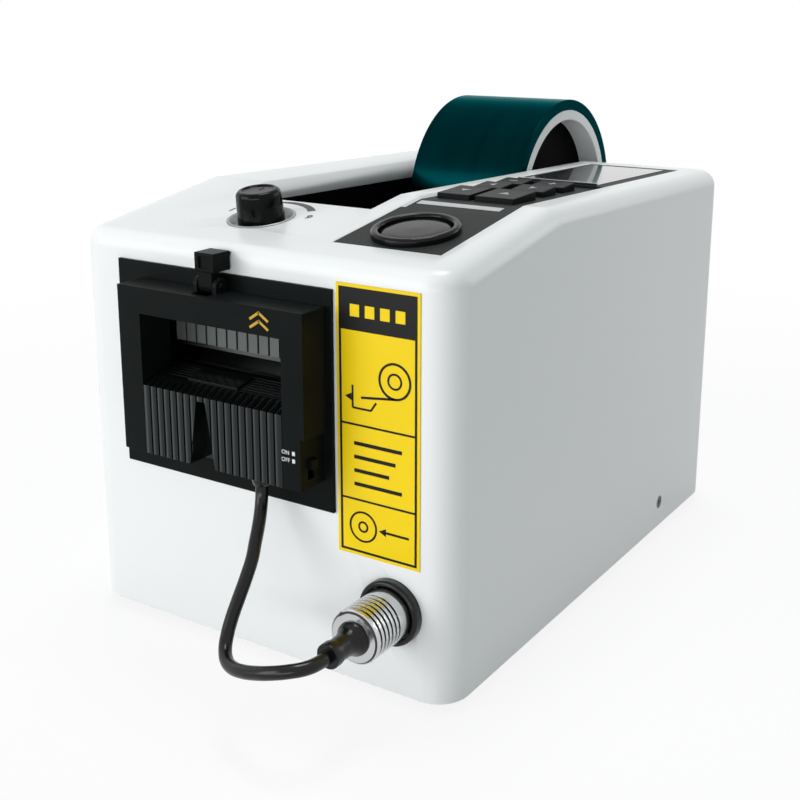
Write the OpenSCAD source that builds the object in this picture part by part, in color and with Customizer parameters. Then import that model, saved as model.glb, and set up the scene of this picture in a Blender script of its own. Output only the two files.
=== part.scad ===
// Desktop electric tape dispenser: a sloped case with an open tape bay, a plug-in cutter unit on the
// front, a control panel along the right of the bay and a roll of tape on a drop-in hub.
// Millimetres. X runs to the right, Y to the rear, Z up.
// The case's own coordinates have X = 0 at its middle, Y = 0 on its front plane and Z = 0 at its lower rim.

/* [Case] */
// Width of the case across its sides
case_w = 145; // [142:1:152]
// Length of the case from its front plane to its rear plane
case_l = 212; // [208:1:220]
// Height of the top face where it meets the front plane
front_h = 130; // [128:1:134]
// Distance of the ridge behind the front plane
ridge_y = 64.5; // [62:0.5:69]
// Rise of the ridge above the top face at the front plane
ridge_rise = 10; // [7:0.5:13]
// Fall of the top face from the ridge to the rear plane
rear_fall = 3.5; // [2:0.5:6]
// Thickness of the case walls
wall = 2.5; // [2:0.1:3]
// Radius of the upright edges of the case
corner_r = 10.5; // [9:0.5:12]
// Radius of the top edges of the case
edge_r = 6; // [5:0.5:8.5]

/* [Base] */
// Thickness of the base plate
base_t = 2; // [1.6:0.2:3]
// Height of the rubber feet
foot_h = 3; // [2.6:0.2:6]
// Diameter of the rubber feet
foot_d = 16; // [12:1:20]
// Distance of each foot's centre from the side and from the front or rear plane
foot_inset = 24; // [22:1:32]
// Shank diameter of the base and side screws
screw_d = 3; // [2.5:0.5:4]
// Distance of the side screws behind the front plane
side_screw_y = 161; // [150:1:175]
// Height of the side screws above the lower rim
side_screw_z = 10; // [8:0.5:14]

/* [Tape bay] */
// Distance of the bay's left side from the case's middle
bay_left = 43.5; // [41:0.5:46]
// Room on each side of the tape in the bay
tape_play = 3.5; // [2:0.5:5]
// Distance of the bay's front wall behind the front plane
bay_y = 53.5; // [53:0.5:56]
// Height of the bay's floor
bay_floor = 40; // [36:1:46]
// Height of the case's white lip around the bay
lip_h = 7; // [5:0.5:9]
// Lead of the lip's sloped front edge in front of the bay's front wall
lip_lead = 7; // [4:0.5:8]
// Wall thickness of the bay's liner
tray_t = 2; // [1.6:0.2:2.4]

/* [Tape roll] */
// Width of the tape
tape_w = 50; // [40:1:52]
// Inner diameter of the roll's core
core_id = 72; // [70:0.5:77]
// Wall thickness of the roll's core
core_t = 4; // [2:0.1:5]
// Thickness of the film wound on the core
film_t = 4.3; // [2:0.1:25]
// Distance of the roll's axis in front of the rear plane
roll_in = 15.5; // [13:0.5:20]
// Depth of the roll's axis below the top face at the rear plane
roll_drop = 18; // [16:0.5:26]
// Diameter of the hub's axle
axle_d = 8; // [6:0.5:10]
// Width of the hub's drum
hub_w = 34; // [26:1:38]
// Depth of the hub's end face inside the core
hub_recess = 9; // [4:1:12]

/* [Guide roller] */
// Diameter of the guide roller
guide_d = 12; // [8:1:16]
// Diameter of the guide roller's shaft
guide_shaft_d = 5; // [3:0.5:6]
// Distance of the guide roller's axis behind the bay's front wall
guide_back = 13; // [11:1:18]
// Depth of the guide roller's axis below the tape's path
guide_drop = 6.7; // [5:0.1:9]

/* [Cutter unit] */
// Distance of the flange's left edge from the case's middle
flange_left = 52.5; // [50:0.1:54]
// Width of the flange
flange_w = 84.8; // [83:0.1:86]
// Height of the flange
flange_h = 68.6; // [66:0.2:70]
// Distance of the flange's top edge below the top face at the front plane
flange_drop = 7.9; // [6.4:0.1:9]
// Thickness of the flange
flange_t = 1.2; // [0.8:0.1:2]
// Distance of the frame's front face in front of the case
frame_out = 13; // [12:0.5:15]
// Width of the frame's left column
column_l = 9; // [7:0.5:10]
// Width of the frame's right column
column_r = 8; // [7:0.5:9]
// Height of the frame's top bar
top_bar = 8.4; // [7:0.2:10]
// Depth of the unit behind the case's front plane
unit_depth = 44; // [42:0.5:45]
// Thickness of the unit's side plates
side_t = 3; // [2.5:0.1:3.5]

/* [Exit table] */
// Height of the ribbed table's front face
table_h = 22.4; // [18:0.2:24]
// Number of ribs across the table's front face
table_ribs = 20; // [14:1:24]
// Depth of the grooves between the ribs
rib_depth = 0.7; // [0.4:0.1:1.2]
// Width of the grooves between the ribs
groove_w = 0.6; // [0.3:0.1:1]
// Width of the finger notch at its foot
notch_w = 10.5; // [8:0.5:14]
// Width of the finger notch at its head
notch_top_w = 3.5; // [2:0.5:6]
// Depth of the finger notch
notch_depth = 7; // [4:0.5:8]

/* [Feed drive] */
// Diameter of the feed roller
feed_d = 18; // [16:0.2:19]
// Diameter of the pinch roller
pinch_d = 15; // [12:0.2:16]
// Diameter of the feed roller's shaft
feed_shaft_d = 6; // [4:0.5:7]
// Diameter of the pinch roller's shaft
pinch_shaft_d = 5; // [4:0.5:6]
// Distance of the feed roller's axis behind the front plane
feed_y = 30; // [29:0.5:31]
// Module of the feed gears
gear_mod = 0.8; // [0.7:0.05:0.8]
// Number of teeth on the feed gear
gear_teeth = 30; // [26:1:32]
// Number of teeth on the motor's pinion
pinion_teeth = 17; // [17:1:18]
// Face width of the gears
gear_t = 5; // [3:0.5:6]
// Diameter of the feed motor
feed_motor_d = 25; // [20:1:28]
// Length of the feed motor
feed_motor_l = 26; // [20:1:28]

/* [Cutter] */
// Travel of the moving blade
blade_travel = 6; // [5:0.5:7]
// Throw of the crank
crank_throw = 6; // [5.5:0.5:8]
// Diameter of the crank's pin
crank_pin_d = 4; // [3:0.5:5]
// Diameter of the cutter's gear motor
cutter_motor_d = 28; // [20:1:30]
// Number of fingers on the presser comb
comb_fingers = 13; // [8:1:16]

/* [Controls] */
// Width of the panel's edge on the left of the keys
key_side = 2.4; // [2:0.1:4]
// Width of the panel's edge on the right of the keys
key_rim = 6.8; // [6:0.1:8]
// Distance from the bay to the control panel
panel_gap = 7.6; // [6.5:0.1:8]
// Distance of the panel's front edge behind the front plane
panel_y = 15; // [14:0.5:20]
// Distance of the panel's rear edge in front of the rear plane
panel_rear = 14; // [12:0.5:16]
// Thickness of the control panel
panel_t = 2; // [1.6:0.1:2.4]
// Depth of the step down from the panel's front part to its keys
well_d = 0.9; // [0.4:0.1:1]
// Diameter of the round button
button_d = 22; // [20:0.2:24]
// Travel of the round button
button_travel = 2; // [1:0.1:2.2]
// Distance of the round button up the slope
button_v = 31; // [29:0.5:36]
// Width of a key in the left column
key_left_w = 12.5; // [11:0.5:14]
// Width of a key in the right column
key_w = 14.5; // [12:0.5:15]
// Travel of a key
key_travel = 1.2; // [0.6:0.1:1.4]
// Diameter of the selector knob
knob_d = 15.5; // [13:0.5:16]
// Height of the selector knob above the case
knob_h = 9.5; // [8:0.5:18]
// Distance of the selector knob from the flange's left edge
knob_in = 35.7; // [28:0.1:38]
// Distance of the selector knob up the slope
knob_v = 28.4; // [26:0.1:32]
// Diameter of the dished dial plate around the knob
dial_d = 22.5; // [22:0.5:26]
// Depth of the dial plate's dish below the case's top face
dish_h = 2.2; // [1:0.1:2.6]

/* [Connector and cable] */
// Distance of the connector's axis from the right side of the case
socket_side = 20; // [18:0.5:24]
// Height of the connector's axis above the lower rim
socket_z = 27; // [26:0.5:31]
// Diameter of the plug's shell
plug_d = 16.5; // [15:0.5:18]
// Length of the plug's shell in front of the socket
plug_l = 18.5; // [15:0.5:20]
// Diameter of the cable
cable_d = 4; // [3.5:0.1:4.5]

/* [Rear fittings] */
// Distance of the rear switch and inlet from the right side of the case
rear_side = 27.5; // [24:0.5:32]
// Height of the power switch above the lower rim
rocker_z = 70; // [60:1:80]
// Height of the power inlet above the lower rim
inlet_z = 30; // [24:1:36]
// Diameter of the power inlet's opening
inlet_d = 6.4; // [5:0.1:7]

/* [Hidden] */
$fn = 64;
hull_fn = 32;
eps = 0.01;
run_fit = 0.05;
slip = 0.2;
gap = 0.3;

left = -case_w / 2;
right = case_w / 2;
ridge_h = front_h + ridge_rise;
rear_h = ridge_h - rear_fall;
slope_a = atan((ridge_h - front_h) / ridge_y);
rear_a = atan((ridge_h - rear_h) / (case_l - ridge_y));

bay_w = tape_w + 2 * tape_play;
bay_x0 = -bay_left;
bay_x1 = bay_x0 + bay_w;
bay_mid = (bay_x0 + bay_x1) / 2;
lip_t = 2.5;
lip_y = bay_y - lip_lead;

core_od = core_id + 2 * core_t;
roll_d = core_od + 2 * film_t;
roll_y = case_l - roll_in;
roll_z = rear_h - roll_drop;
roll_x0 = bay_mid - tape_w / 2;
roll_x1 = bay_mid + tape_w / 2;
hub_x1 = roll_x1 - hub_recess;
hub_x0 = hub_x1 - hub_w;
web_t = 4;
boss_t = 8;

front_reach = frame_out;
rear_reach = roll_y + roll_d / 2;
mid_y = (rear_reach - front_reach) / 2;

flange_x0 = -flange_left;
flange_x1 = flange_x0 + flange_w;
flange_z1 = front_h - flange_drop;
flange_z0 = flange_z1 - flange_h;
frame_x0 = flange_x0 + 11.2;
frame_x1 = flange_x1 - 1.5;
frame_z0 = flange_z0 + 10;
frame_z1 = flange_z1 - 5;
frame_step_z = frame_z0 + 16;
frame_step = 1.4;
mouth_x0 = frame_x0 + column_l;
mouth_x1 = frame_x1 - column_r;
mouth_z1 = frame_z1 - top_bar;
box_x0 = frame_x0 - 3;
box_x1 = frame_x1 - frame_step;
box_z0 = frame_z0 - 5;
box_z1 = frame_z1 + 1.3;
box_t = 2.5;
in_x0 = box_x0 + side_t;
in_x1 = box_x1 - side_t;

table_z1 = frame_z0 + table_h;
table_run = 5;
table_rise = 2.3;
table_top = table_z1 + table_rise + 2.2;
table_back = 4;
notch_x = (flange_x0 + flange_x1) / 2 + 1.5;

tape_z = table_top + 0.2;
guide_y = bay_y + guide_back;
guide_z = tape_z - guide_drop;
feed_z = table_top - feed_d / 2;
nip = 0.4;
pinch_z = feed_z + feed_d / 2 + nip + pinch_d / 2;
gear_x1 = in_x1 - 1.5;
gear_x0 = gear_x1 - gear_t;
roller_x0 = in_x0 + 1;
roller_x1 = gear_x0 - 1;
gear_play = 0.1;
mesh_d = gear_mod * (gear_teeth + pinion_teeth) / 2 + gear_play;
pinion_r = gear_mod * (pinion_teeth / 2 + 0.95);
pinion_clear = 2;
pinion_y = bay_y - tray_t - pinion_r - pinion_clear;
pinion_a = acos((pinion_y - feed_y) / mesh_d);
pinion_z = feed_z + mesh_d * sin(pinion_a);
pinion_turn = pinion_a * (1 + gear_teeth / pinion_teeth) + 180 + 180 / pinion_teeth;
motor_shaft_d = 3;
motor_plate_x = box_x1 + 1.2;
plate_t = 2;

fixed_t = 2;
blade_t = 1.5;
carrier_t = 4;
blade_y = table_back + fixed_t + 0.15;
carrier_y = blade_y + blade_t;
carrier_y1 = carrier_y + carrier_t;
blade_z = table_top - 1.5 + blade_travel;
carrier_z = blade_z + 3;
carrier_head = 4;
carrier_h = box_z1 - box_t - carrier_head - carrier_z;
guide_depth = 1;
comb_y = 2.8;
comb_t = 1.2;
comb_z = blade_z + 2.3;
leg_w = 5;
leg_x1 = in_x1 - 0.6;
leg_x0 = leg_x1 - leg_w;
swing = asin(blade_travel / 2 / crank_throw);
crank_x = leg_x0 - 8;
crank_z = box_z0 - 16.5;
pin_x = crank_x + crank_throw * cos(swing);
pin_z = crank_z + crank_throw * sin(swing);
pin_slack = 0.3;
yoke_h = crank_pin_d + 2 * pin_slack + 7;
crank_y = carrier_y + carrier_t + 0.6;
crank_t = 3;
crank_r = crank_throw + crank_pin_d / 2 + 1;
crank_shaft_d = 6;
cutter_plate_y = crank_y + crank_t + 0.8;

latch_x = (flange_x0 + flange_x1) / 2 + 0.5;
latch_w = 5.4;
latch_y = -frame_out + 7.5;
latch_z = frame_z1 + 2;
latch_pin_d = 2.4;
ear_t = 1.6;
ear_r = 2.6;

switch_y = -frame_out + 5;
switch_z = frame_z0 + 7.5;
switch_travel = 3;
switch_x0 = mouth_x1 + 1.5;
switch_x1 = box_x1 - 0.9;

key_gap = 1.8;
panel_w = key_side + key_left_w + key_gap + key_w + key_rim;
panel_x0 = bay_x1 + panel_gap;
panel_x1 = panel_x0 + panel_w;
panel_y1 = case_l - panel_rear;
panel_drop = 0.2;
panel_low = panel_drop + panel_t;
seat_t = 2.5;
ledge = 2;
ctl_x = panel_x0 + panel_w / 2 - 1;
button_x = panel_x0 + panel_w / 2 + 0.8;
well_y = ridge_y - 12;
cup_t = 2.2;
button_stem = 7;
key_x = [panel_x0 + key_side, panel_x0 + key_side + key_left_w + key_gap];
key_widths = [key_left_w, key_w];
key_front_h = 0.7;
key_rear_h = 1.7;
key_tab = 1;
// Each key's column, distance behind the ridge, length and inset from its column's sides.
KEYS = [
    [0, 6, 16, 0], [1, 6, 16, 0], [0, 28.5, 10, 0.8], [1, 28.5, 10, 0.8],
    [0, 43.5, 10, 0.8], [1, 43.5, 10, 0.8]
];
post_v = (KEYS[0][1] + KEYS[0][2] + KEYS[2][1]) / 2;
post_d = KEYS[2][1] - KEYS[0][1] - KEYS[0][2] - 2 * key_tab - 1.1;
dome_h = 1.2;
board_w0 = -panel_low - slip - 1.4 - key_travel - 0.3 - dome_h;
board_t = 1.6;
board_half = panel_w / 2 - ledge - 1.5;
board_v0 = 2.5;
panel_v1 = (panel_y1 - ridge_y) / cos(rear_a);
window_v0 = 66;
window_v1 = panel_v1 - 5;
window_half = panel_w / 2 - 3.4;
window_t = 1.2;
module_v0 = window_v0 + 14;
module_v1 = window_v1 - 15;
module_half = 12;
ring_t = 2.3;
ring_h = 2.2;
knob_x = flange_x0 + knob_in;
stem_d = 6;
bush_d = 8.4;
dish_t = 1;
dish_low = dish_h + dish_t;
cup_d = dial_d - 2;

socket_x = right - socket_side;
bezel_r = plug_d / 2 + 2;
bezel_out = 3.2;
plug_start = -1.5;
nose_d = plug_d - 4.5;
barrel_d = plug_d - 1.1;
plug_end = plug_start - plug_l;
boot_l = 12.5;
boot_r = cable_d / 2 + 1.5;
boot_end = plug_end - boot_l;
gland_x = mouth_x1 - 12.4;
gland_y = -frame_out + 5;
gland_l = 3;

rear_x = right - rear_side;
rocker_w = 12;
rocker_l = 17;
rocker_tilt = 10;
rocker_back = 4;
rocker_room = rocker_l / 2 * cos(rocker_tilt) + (rocker_back + 1.5) * sin(rocker_tilt) + gap;

boss_r = 7.5;
boss_x = right - wall - boss_r + 0.5;
boss_y = wall + boss_r + 1.5;
boss_h = 12;
screw_l = base_t + boss_h - 3;
decal_t = 0.3;
decal_gap = 1.1;
decal_side = 10.4;
decal_lift = 14.9;
decal_top = 2.4;

// Cable route in the case's coordinates, from the plug's boot to the gland under the table.
CABLE = [
    [socket_x, boot_end, socket_z], [socket_x, boot_end - 3, socket_z],
    [51.3, -40.3, 27], [47.8, -43.9, 26.6],
    [43.1, -45.4, 25.4], [37.7, -45.4, 23.7], [32.3, -44.6, 22.1], [27.4, -43, 20.9],
    [23.2, -40.7, 20.7], [20.1, -37.8, 21.9], [18.4, -34.8, 24.7], [17.6, -31.6, 28.6],
    [17.2, -27.8, 33.2], [16.8, -24, 37.7], [16.1, -20, 42.5], [14.7, -16.9, 45.6], [13.25, -13.7, 48.7],
    [gland_x + 1.4, gland_y - 2.57, frame_z0 - gland_l - 7.87],
    [gland_x + 0.64, gland_y - 1.18, frame_z0 - gland_l - 5.8],
    [gland_x + 0.16, gland_y - 0.3, frame_z0 - gland_l - 3.39],
    [gland_x, gland_y, frame_z0 - gland_l - 0.8], [gland_x, gland_y, frame_z0 - gland_l]
];
cable_sides = 10;
cable_ref = [1, 1, -0.6];

// Height of the top face above the lower rim at a distance behind the front plane.
function top_z(y) = y < ridge_y ? front_h + y * tan(slope_a) : ridge_h - (y - ridge_y) * tan(rear_a);

function unit3(v) = v / norm(v);

function tangent(route, i) =
    unit3(i == 0 ? route[1] - route[0]
        : i == len(route) - 1 ? route[i] - route[i - 1]
        : route[i + 1] - route[i - 1]);

function ring_points(route, i, r, sides) =
    let (t = tangent(route, i), u = unit3(cross(t, cable_ref)), w = cross(t, u))
    [for (s = [0:sides - 1]) route[i] + r * (cos(360 * s / sides) * u + sin(360 * s / sides) * w)];

// Moves the case's coordinates to the part's own: the middle of the footprint, on the table top.
module place() translate([0, -mid_y, foot_h]) children();

// The plane of the sloped front top face, with Y up the slope and Z square to it.
module on_slope(x, v) translate([0, 0, front_h]) rotate([slope_a, 0, 0]) translate([x, v, 0]) children();

// The plane of the rear top face, with Y measured back from the ridge and Z square to it.
module on_rear(x, v)
    translate([0, ridge_y, ridge_h]) rotate([-rear_a, 0, 0]) translate([x, v, 0]) children();

module block(x0, x1, y0, y1, z0, z1) translate([x0, y0, z0]) cube([x1 - x0, y1 - y0, z1 - z0]);

// A cylinder along X from x0 to x1.
module rod_x(x0, x1, y, z, d) translate([x0, y, z]) rotate([0, 90, 0]) cylinder(d = d, h = x1 - x0);

// A cylinder along Y from y0 to y1.
module rod_y(x, y0, y1, z, d) translate([x, y0, z]) rotate([-90, 0, 0]) cylinder(d = d, h = y1 - y0);

// A drawing in the Y and Z plane, drawn out along X from x0 to x1.
module along_x(x0, x1) translate([x0, 0, 0]) rotate([90, 0, 90]) linear_extrude(x1 - x0) children();

module rounded_rect(w, l, r) {
    translate([-w / 2 + r, 0]) square([w - 2 * r, l]);
    translate([-w / 2, r]) square([w, l - 2 * r]);
    for (sx = [-1, 1], y = [r, l - r]) translate([sx * (w / 2 - r), y]) circle(r);
}

// Everything under the top face lowered by a drop.
module below_top(drop) {
    over = 20;
    along_x(-case_w, case_w)
        polygon([[-over, -over], [-over, top_z(-over) - drop], [ridge_y, ridge_h - drop],
            [case_l + over, top_z(case_l + over) - drop], [case_l + over, -over]]);
}

module case_corner(y, z) {
    for (sx = [-1, 1]) translate([sx * (case_w / 2 - corner_r), y, 0]) {
        cylinder(r = corner_r, h = z, $fn = hull_fn);
        translate([0, 0, z]) rotate_extrude($fn = hull_fn)
            translate([corner_r - edge_r, 0]) intersection() {
                circle(edge_r, $fn = hull_fn);
                translate([-(corner_r - edge_r), 0]) square([corner_r + edge_r, edge_r]);
            }
    }
}

module case_outer() {
    ridge_c = ridge_h - edge_r / cos(slope_a);
    front_c = front_h - edge_r * (1 - sin(slope_a)) / cos(slope_a);
    rear_c = ridge_c - (case_l - ridge_y - edge_r) * tan(rear_a);
    hull() {
        case_corner(corner_r, front_c);
        case_corner(case_l - corner_r, rear_c);
        for (sx = [-1, 1])
            translate([sx * (case_w / 2 - edge_r), ridge_y, ridge_c]) sphere(edge_r, $fn = hull_fn);
    }
}

module case_inner() {
    intersection() {
        translate([0, wall, -1]) linear_extrude(ridge_h)
            rounded_rect(case_w - 2 * wall, case_l - 2 * wall, corner_r - wall);
        union() {
            below_top(edge_r);
            intersection() {
                below_top(wall);
                block(left + edge_r, right - edge_r, 0, case_l, 0, ridge_h);
            }
        }
    }
}

module boss_places()
    for (x = [-boss_x, boss_x], y = [boss_y, case_l - boss_y]) translate([x, y, 0]) children();

module axle_path(play) {
    translate([0, roll_y, roll_z]) rotate([12, 0, 0]) union() {
        rod_x(bay_x0 - 6, bay_x1 + 6, 0, 0, axle_d + 2 * play);
        block(bay_x0 - 6, bay_x1 + 6, 0, 60, -axle_d / 2 - play, axle_d / 2 + play);
    }
}

module case_shell() color("whitesmoke") place() difference() {
    union() {
        difference() {
            case_outer();
            case_inner();
        }
        boss_places() translate([0, 0, base_t]) cylinder(r = boss_r, h = boss_h);
        difference() {
            intersection() {
                case_outer();
                block(bay_x0 - lip_t, bay_x1 + lip_t, lip_y - lip_t, case_l - eps, 0, ridge_h + 1);
            }
            below_top(lip_h);
        }
        difference() {
            intersection() {
                below_top(wall / 2);
                block(panel_x0 - ledge, panel_x1 + ledge, panel_y - ledge, panel_y1 + ledge, 0, ridge_h);
            }
            below_top(panel_low + seat_t);
        }
    }
    block(bay_x0, bay_x1, bay_y, case_l + 1, bay_floor, ridge_h + 1);
    along_x(bay_x0, bay_x1)
        polygon([[lip_y, top_z(lip_y)], [lip_y, ridge_h + 1], [bay_y + 1, ridge_h + 1],
            [bay_y + 1, top_z(bay_y) - lip_h + 1], [bay_y, top_z(bay_y) - lip_h + 1]]);
    intersection() {
        axle_path(0.8);
        block(bay_x0 - 5, bay_x1 + 5, case_l - wall - 1, case_l + 1, 0, ridge_h);
    }
    difference() {
        block(panel_x0 - slip, panel_x1 + slip, panel_y - slip, panel_y1 + slip, 0, ridge_h + 1);
        below_top(panel_low);
    }
    block(panel_x0 + ledge, panel_x1 - ledge, panel_y + ledge, panel_y1 - ledge, front_h / 2, ridge_h);
    on_slope(button_x, button_v) translate([0, 0, -20])
        cylinder(d = button_d + 2 * gap + 2 * cup_t + 2 * slip, h = 19);
    block(box_x0 - gap, box_x1 + gap, -1, wall + 1, box_z0 - gap, box_z1 + gap);
    block(latch_x - latch_w / 2 - gap, latch_x + latch_w / 2 + gap, -1, wall + 1,
        latch_z + 3.9, latch_z + 9.5);
    on_slope(knob_x, knob_v) translate([0, 0, -20]) cylinder(d = cup_d + 2 * run_fit, h = 30);
    rod_y(socket_x, -1, wall + 1, socket_z, barrel_d + 2 * slip);
    block(rear_x - rocker_w / 2 - 1.6 - slip, rear_x + rocker_w / 2 + 1.6 + slip,
        case_l - wall - 1, case_l + 1, rocker_z - rocker_room - 1 - slip, rocker_z + rocker_room + 1 + slip);
    rod_y(rear_x, case_l - wall - 1, case_l + 1, inlet_z, inlet_d + 4 + 2 * run_fit);
    boss_places() translate([0, 0, -1]) cylinder(d = screw_d + 2 * run_fit, h = screw_l + 1 + gap);
    for (sx = [-1, 1]) translate([sx * right, side_screw_y, side_screw_z]) rotate([0, -sx * 90, 0]) {
        translate([0, 0, -1]) cylinder(d = screw_d + 0.4, h = wall + 2);
        translate([0, 0, -1]) cylinder(d = screw_d * 1.6 + 0.4, h = 2.2);
    }
}

module base_plate() color("gainsboro") place() difference() {
    union() {
        translate([0, wall + slip, 0]) linear_extrude(base_t)
            rounded_rect(case_w - 2 * wall - 2 * slip, case_l - 2 * wall - 2 * slip, corner_r - wall - slip);
        for (x = [bay_x0 + 8, bay_x1 - 8], y = [bay_y + 25, case_l - 25])
            translate([x, y, 0]) cylinder(d = 8, h = bay_floor - tray_t);
        for (sx = [-1, 1])
            translate([sx * (right - wall - slip - plate_t / 2), side_screw_y, side_screw_z / 2 + 3])
                cube([plate_t, 14, side_screw_z + 6], center = true);
    }
    boss_places() translate([0, 0, -1]) cylinder(d = screw_d + 0.4, h = base_t + 2);
    foot_places() translate([0, 0, -1]) cylinder(d = foot_d * 0.4 + 2 * run_fit, h = base_t + 2);
    for (sx = [-1, 1]) translate([sx * right, side_screw_y, side_screw_z]) rotate([0, -sx * 90, 0])
        cylinder(d = screw_d + 2 * run_fit, h = wall + slip + plate_t + 1);
}

module foot_places()
    for (x = [left + foot_inset, right - foot_inset], y = [foot_inset, case_l - foot_inset])
        translate([x, y, 0]) children();

module feet() color("dimgray") place() foot_places() {
    translate([0, 0, -foot_h]) rotate_extrude()
        polygon([[0, 0], [foot_d / 2 - 1, 0], [foot_d / 2, foot_h], [foot_d * 0.2, foot_h],
            [foot_d * 0.2, foot_h + base_t], [0, foot_h + base_t]]);
}

module screw(head, length) {
    difference() {
        translate([0, 0, -head]) cylinder(d = screw_d * 1.6, h = head);
        translate([0, 0, -head - 1]) cylinder(d = screw_d * 0.7, h = 1 + head * 0.6, $fn = 6);
    }
    translate([0, 0, -eps]) cylinder(d = screw_d, h = length);
}

module base_screws() color("silver") place() boss_places() screw(1.6, screw_l);

module side_screws() color("silver") place()
    for (sx = [-1, 1]) translate([sx * (right - 1.2), side_screw_y, side_screw_z]) rotate([0, -sx * 90, 0])
        screw(1, wall + plate_t);

module bay_tray() color("#1a1a1c") place() difference() {
    intersection() {
        block(bay_x0 - tray_t, bay_x1 + tray_t, bay_y - tray_t, case_l - wall, bay_floor - tray_t, ridge_h);
        below_top(lip_h);
    }
    block(bay_x0, bay_x1, bay_y, case_l, bay_floor, ridge_h + 1);
    block(bay_x0 + 2, bay_x1 - 2, bay_y - tray_t - 1, bay_y + 1, tape_z - 6, tape_z + 6);
    axle_path(run_fit);
    rod_x(bay_x0 - tray_t - 1, bay_x1 + tray_t + 1, guide_y, guide_z, guide_shaft_d + 2 * run_fit);
}

module hub_axle() color("silver") place() rod_x(bay_x0 - 4.5, bay_x1 + 4.5, roll_y, roll_z, axle_d);

// A ring along X around the roll's axis.
module roll_ring(x0, x1, outer, inner) difference() {
    rod_x(x0, x1, roll_y, roll_z, outer);
    rod_x(x0 - 1, x1 + 1, roll_y, roll_z, inner);
}

module tape_winding() color("#00565c") place() roll_ring(roll_x0, roll_x1, roll_d, core_od);

module tape_core() color("#d8dcdc") place() roll_ring(roll_x0, roll_x1, core_od, core_id);

module tape_hub() color("#151516") place() union() {
    roll_ring(hub_x0, hub_x1, core_id, core_id - 5);
    roll_ring(hub_x1 - web_t, hub_x1, core_id - 4, axle_d + 2 * run_fit);
    roll_ring(bay_x0 + 0.5, bay_x1 - 0.5, axle_d + 2 * boss_t, axle_d + 2 * run_fit);
}

module guide_shaft() color("silver") place()
    rod_x(bay_x0 - tray_t, bay_x1 + tray_t, guide_y, guide_z, guide_shaft_d);

module guide_roller() color("#202022") place() difference() {
    rod_x(bay_x0 + gap, bay_x1 - gap, guide_y, guide_z, guide_d);
    rod_x(bay_x0, bay_x1, guide_y, guide_z, guide_shaft_d + 2 * run_fit);
}

// The mouth that runs through the flange and frame, down to the frame's foot.
module mouth() block(mouth_x0, mouth_x1, -frame_out - 1, 1, frame_z0 - 1, mouth_z1);

module latch_ears() for (sx = [-1, 1]) {
    x = latch_x + sx * (latch_w / 2 + gap + ear_t / 2) - ear_t / 2;
    rod_x(x, x + ear_t, latch_y, latch_z, 2 * ear_r);
    block(x, x + ear_t, latch_y - ear_r, latch_y + ear_r, frame_z1 - 1, latch_z);
}

module cutter_housing() color("#17181a") place() difference() {
    union() {
        difference() {
            union() {
                block(flange_x0, flange_x1, -flange_t, 0, flange_z0, flange_z1);
                block(frame_x0, frame_x1, -frame_out, 0, frame_step_z, frame_z1);
                block(frame_x0, frame_x1 - frame_step, -frame_out, 0, frame_z0, frame_step_z);
            }
            mouth();
        }
        difference() {
            block(box_x0, box_x1, -eps, unit_depth, box_z0, box_z1);
            block(in_x0, in_x1, -1, unit_depth + 1, box_z0 + box_t, box_z1 - box_t);
        }
        block(in_x0, in_x1, -flange_t, 0, box_z0, frame_z0 - slip);
        latch_ears();
    }
    rod_x(latch_x - 9, latch_x + 9, latch_y, latch_z, latch_pin_d);
    block(latch_x - latch_w / 2 - gap, latch_x + latch_w / 2 + gap, -frame_out + 2.5, -flange_t,
        frame_z1 - 3.4, frame_z1 + 9);
    rod_x(box_x0 - 1, box_x1 + 1, feed_y, feed_z, feed_shaft_d + 2 * run_fit);
    rod_x(box_x0 - 1, box_x1 + 1, feed_y, pinch_z, pinch_shaft_d + 2 * run_fit);
    block(in_x0 - guide_depth, in_x1 + guide_depth, carrier_y - slip, carrier_y + carrier_t + slip,
        box_z0 + box_t, box_z1 - box_t);
    block(leg_x0 - 0.8, in_x1, carrier_y - 0.5, carrier_y1 + 0.5, box_z0 - 1, box_z0 + box_t + 1);
    shaft_slot = motor_shaft_d + 3;
    rod_x(in_x1 - 1, box_x1 + 1, pinion_y, pinion_z, shaft_slot);
    block(in_x1 - 1, box_x1 + 1, pinion_y, unit_depth + 1,
        pinion_z - shaft_slot / 2, pinion_z + shaft_slot / 2);
    block(switch_x0, switch_x1, switch_y - 4, 1, switch_z - switch_travel - 3, switch_z + 4.6);
    block(switch_x0 + 1.5, frame_x1 + 1, switch_y - 1.6, switch_y + 1.6,
        switch_z - switch_travel - 1.8, switch_z + 1.8);
}

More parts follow.
